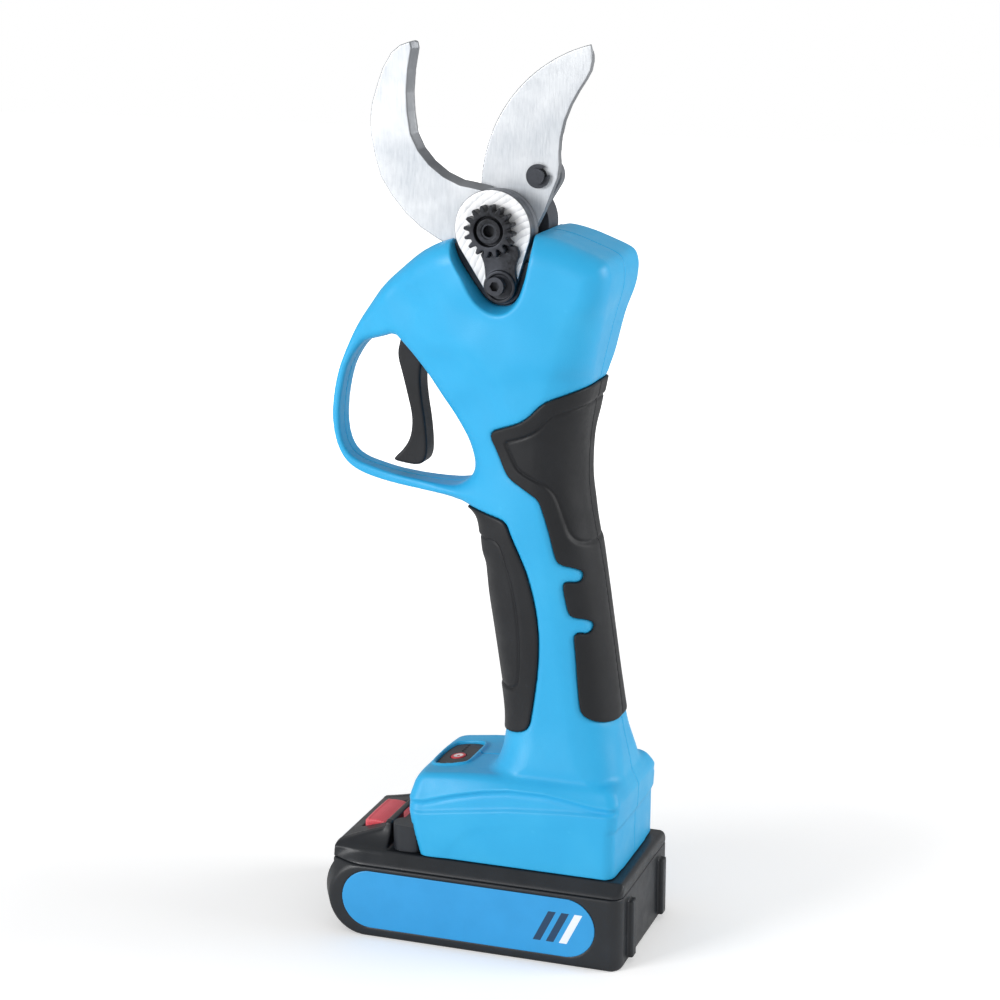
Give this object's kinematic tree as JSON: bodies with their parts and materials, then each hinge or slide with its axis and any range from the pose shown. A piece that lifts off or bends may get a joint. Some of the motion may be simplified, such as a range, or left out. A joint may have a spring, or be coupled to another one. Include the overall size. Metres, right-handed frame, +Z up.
{
  "type": "battery electric pruner",
  "caption": "Hand-held battery pruning shear: hooked fixed blade, gear-driven cutting blade, guarded trigger handle with rubber grips, slide-on battery foot.",
  "frame": {"origin": "middle of the battery's flat underside", "axes": "+Z up the tool to the blades, -X towards the finger guard, Y across the tool, Y = 0 where the shells meet"},
  "size_m": [0.1345, 0.07, 0.3609],
  "materials": {
    "shell_blue": "moulded, fine texture",
    "grip_rubber": "overmoulded rubber, fine texture",
    "blade_steel": "long ground grain",
    "machined_plate": "turned face",
    "black_oxide": "blackened steel",
    "cast_head": "as cast",
    "gear_steel": "hobbed",
    "zinc_screw": "plated",
    "copper": "enamelled wire",
    "magnet_steel": "ground",
    "case_black": "satin moulded",
    "panel_black": "smooth film",
    "latch_red": "satin moulded",
    "label_blue": "printed film, no lettering",
    "light_window": "clear",
    "board_green": "solder mask",
    "cell_wrap": "shrink wrap over steel can",
    "nickel": "rolled strip",
    "wire_red": "insulation"
  },
  "bodies": {
    "handle": {"left_shell": "shell_blue", "right_shell": "shell_blue", "front_grip_left": "grip_rubber", "front_grip_right": "grip_rubber", "rear_grip_left": "grip_rubber", "rear_grip_right": "grip_rubber", "shell_screws": "zinc_screw", "head_frame": "cast_head", "head_plate": "machined_plate", "counter_blade": "blade_steel", "pivot_bolt": "black_oxide", "adjusting_nut": "black_oxide", "lock_tab": "black_oxide", "lock_screw": "black_oxide", "frame_screws": "zinc_screw", "thrust_washer": "zinc_screw", "pinion_bearing": "gear_steel", "ring_gear": "gear_steel", "gearbox_housing": "cast_head", "motor_can": "black_oxide", "motor_stator": "magnet_steel", "motor_windings": "copper", "motor_end_cap": "machined_plate", "motor_bearings": "gear_steel", "motor_wires": "wire_red", "trigger_pin": "zinc_screw", "trigger_spring": "zinc_screw", "trigger_sensor_board": "board_green", "display_panel": "panel_black", "display_board": "board_green", "indicator_lights": "light_window", "battery_rail": "case_black", "contact_blades": "copper", "control_board": "board_green"},
    "blade": {"cutting_blade": "blade_steel", "sector_gear": "gear_steel", "drive_pin": "black_oxide", "retaining_clip": "black_oxide"},
    "output": {"bevel_pinion": "gear_steel", "planet_carrier": "gear_steel"},
    "planet_1": {"planet_gear_1": "gear_steel"},
    "planet_2": {"planet_gear_2": "gear_steel"},
    "planet_3": {"planet_gear_3": "gear_steel"},
    "rotor": {"motor_rotor": "magnet_steel", "rotor_shaft": "gear_steel", "sun_gear": "gear_steel"},
    "trigger": {"trigger": "case_black", "trigger_magnet": "magnet_steel"},
    "power_button": {"power_button": "light_window"},
    "battery": {"battery_tray": "case_black", "battery_cover": "case_black", "side_labels": "label_blue", "battery_cells": "cell_wrap", "cell_holders": "case_black", "cell_strips": "nickel", "battery_board": "board_green", "battery_terminals": "copper", "battery_screws": "zinc_screw", "latch_spring": "zinc_screw"},
    "latch": {"battery_latch": "latch_red"}
  },
  "joints": [
    {"name": "blade_swing", "type": "hinge", "parent": "handle", "child": "blade", "pos_m": [0.0055, -0.008, 0.2912], "axis": [0, -1, 0], "range_deg": [0, 52]},
    {"name": "output_spin", "type": "hinge", "parent": "handle", "child": "output", "pos_m": [0.00958, 0, 0.25845], "axis": [-0.1236, 0, 0.9923], "range_deg": [0, 208]},
    {"name": "rotor_spin", "type": "hinge", "parent": "handle", "child": "rotor", "pos_m": [0.01662, 0, 0.20189], "axis": [-0.1236, 0, 0.9923], "range_deg": [0, 832]},
    {"name": "planet_1_spin", "type": "hinge", "parent": "output", "child": "planet_1", "pos_m": [0.02014, 0, 0.24163], "axis": [-0.1236, 0, 0.9923], "range_deg": [-624, 0]},
    {"name": "planet_2_spin", "type": "hinge", "parent": "output", "child": "planet_2", "pos_m": [0.00764, 0.00728, 0.24007], "axis": [-0.1236, 0, 0.9923], "range_deg": [-624, 0]},
    {"name": "planet_3_spin", "type": "hinge", "parent": "output", "child": "planet_3", "pos_m": [0.00764, -0.00728, 0.24007], "axis": [-0.1236, 0, 0.9923], "range_deg": [-624, 0]},
    {"name": "trigger_pull", "type": "hinge", "parent": "handle", "child": "trigger", "pos_m": [-0.031, 0, 0.249], "axis": [0, -1, 0], "range_deg": [0, 13]},
    {"name": "button_press", "type": "slide", "parent": "handle", "child": "power_button", "axis": [0.1392, 0, -0.9903], "range_m": [0, 0.0006]},
    {"name": "battery_slide", "type": "slide", "parent": "handle", "child": "battery", "axis": [-1, 0, 0], "range_m": [0, 0.1]},
    {"name": "latch_press", "type": "slide", "parent": "battery", "child": "latch", "axis": [0, 0, -1], "range_m": [0, 0.0025], "deforming": ["latch_spring"]}
  ],
  "couplings": [
    {"joint": "output_spin", "follows": "blade_swing", "ratio": 4},
    {"joint": "rotor_spin", "follows": "blade_swing", "ratio": 16},
    {"joint": "planet_1_spin", "follows": "blade_swing", "ratio": -12},
    {"joint": "planet_2_spin", "follows": "blade_swing", "ratio": -12},
    {"joint": "planet_3_spin", "follows": "blade_swing", "ratio": -12}
  ]
}
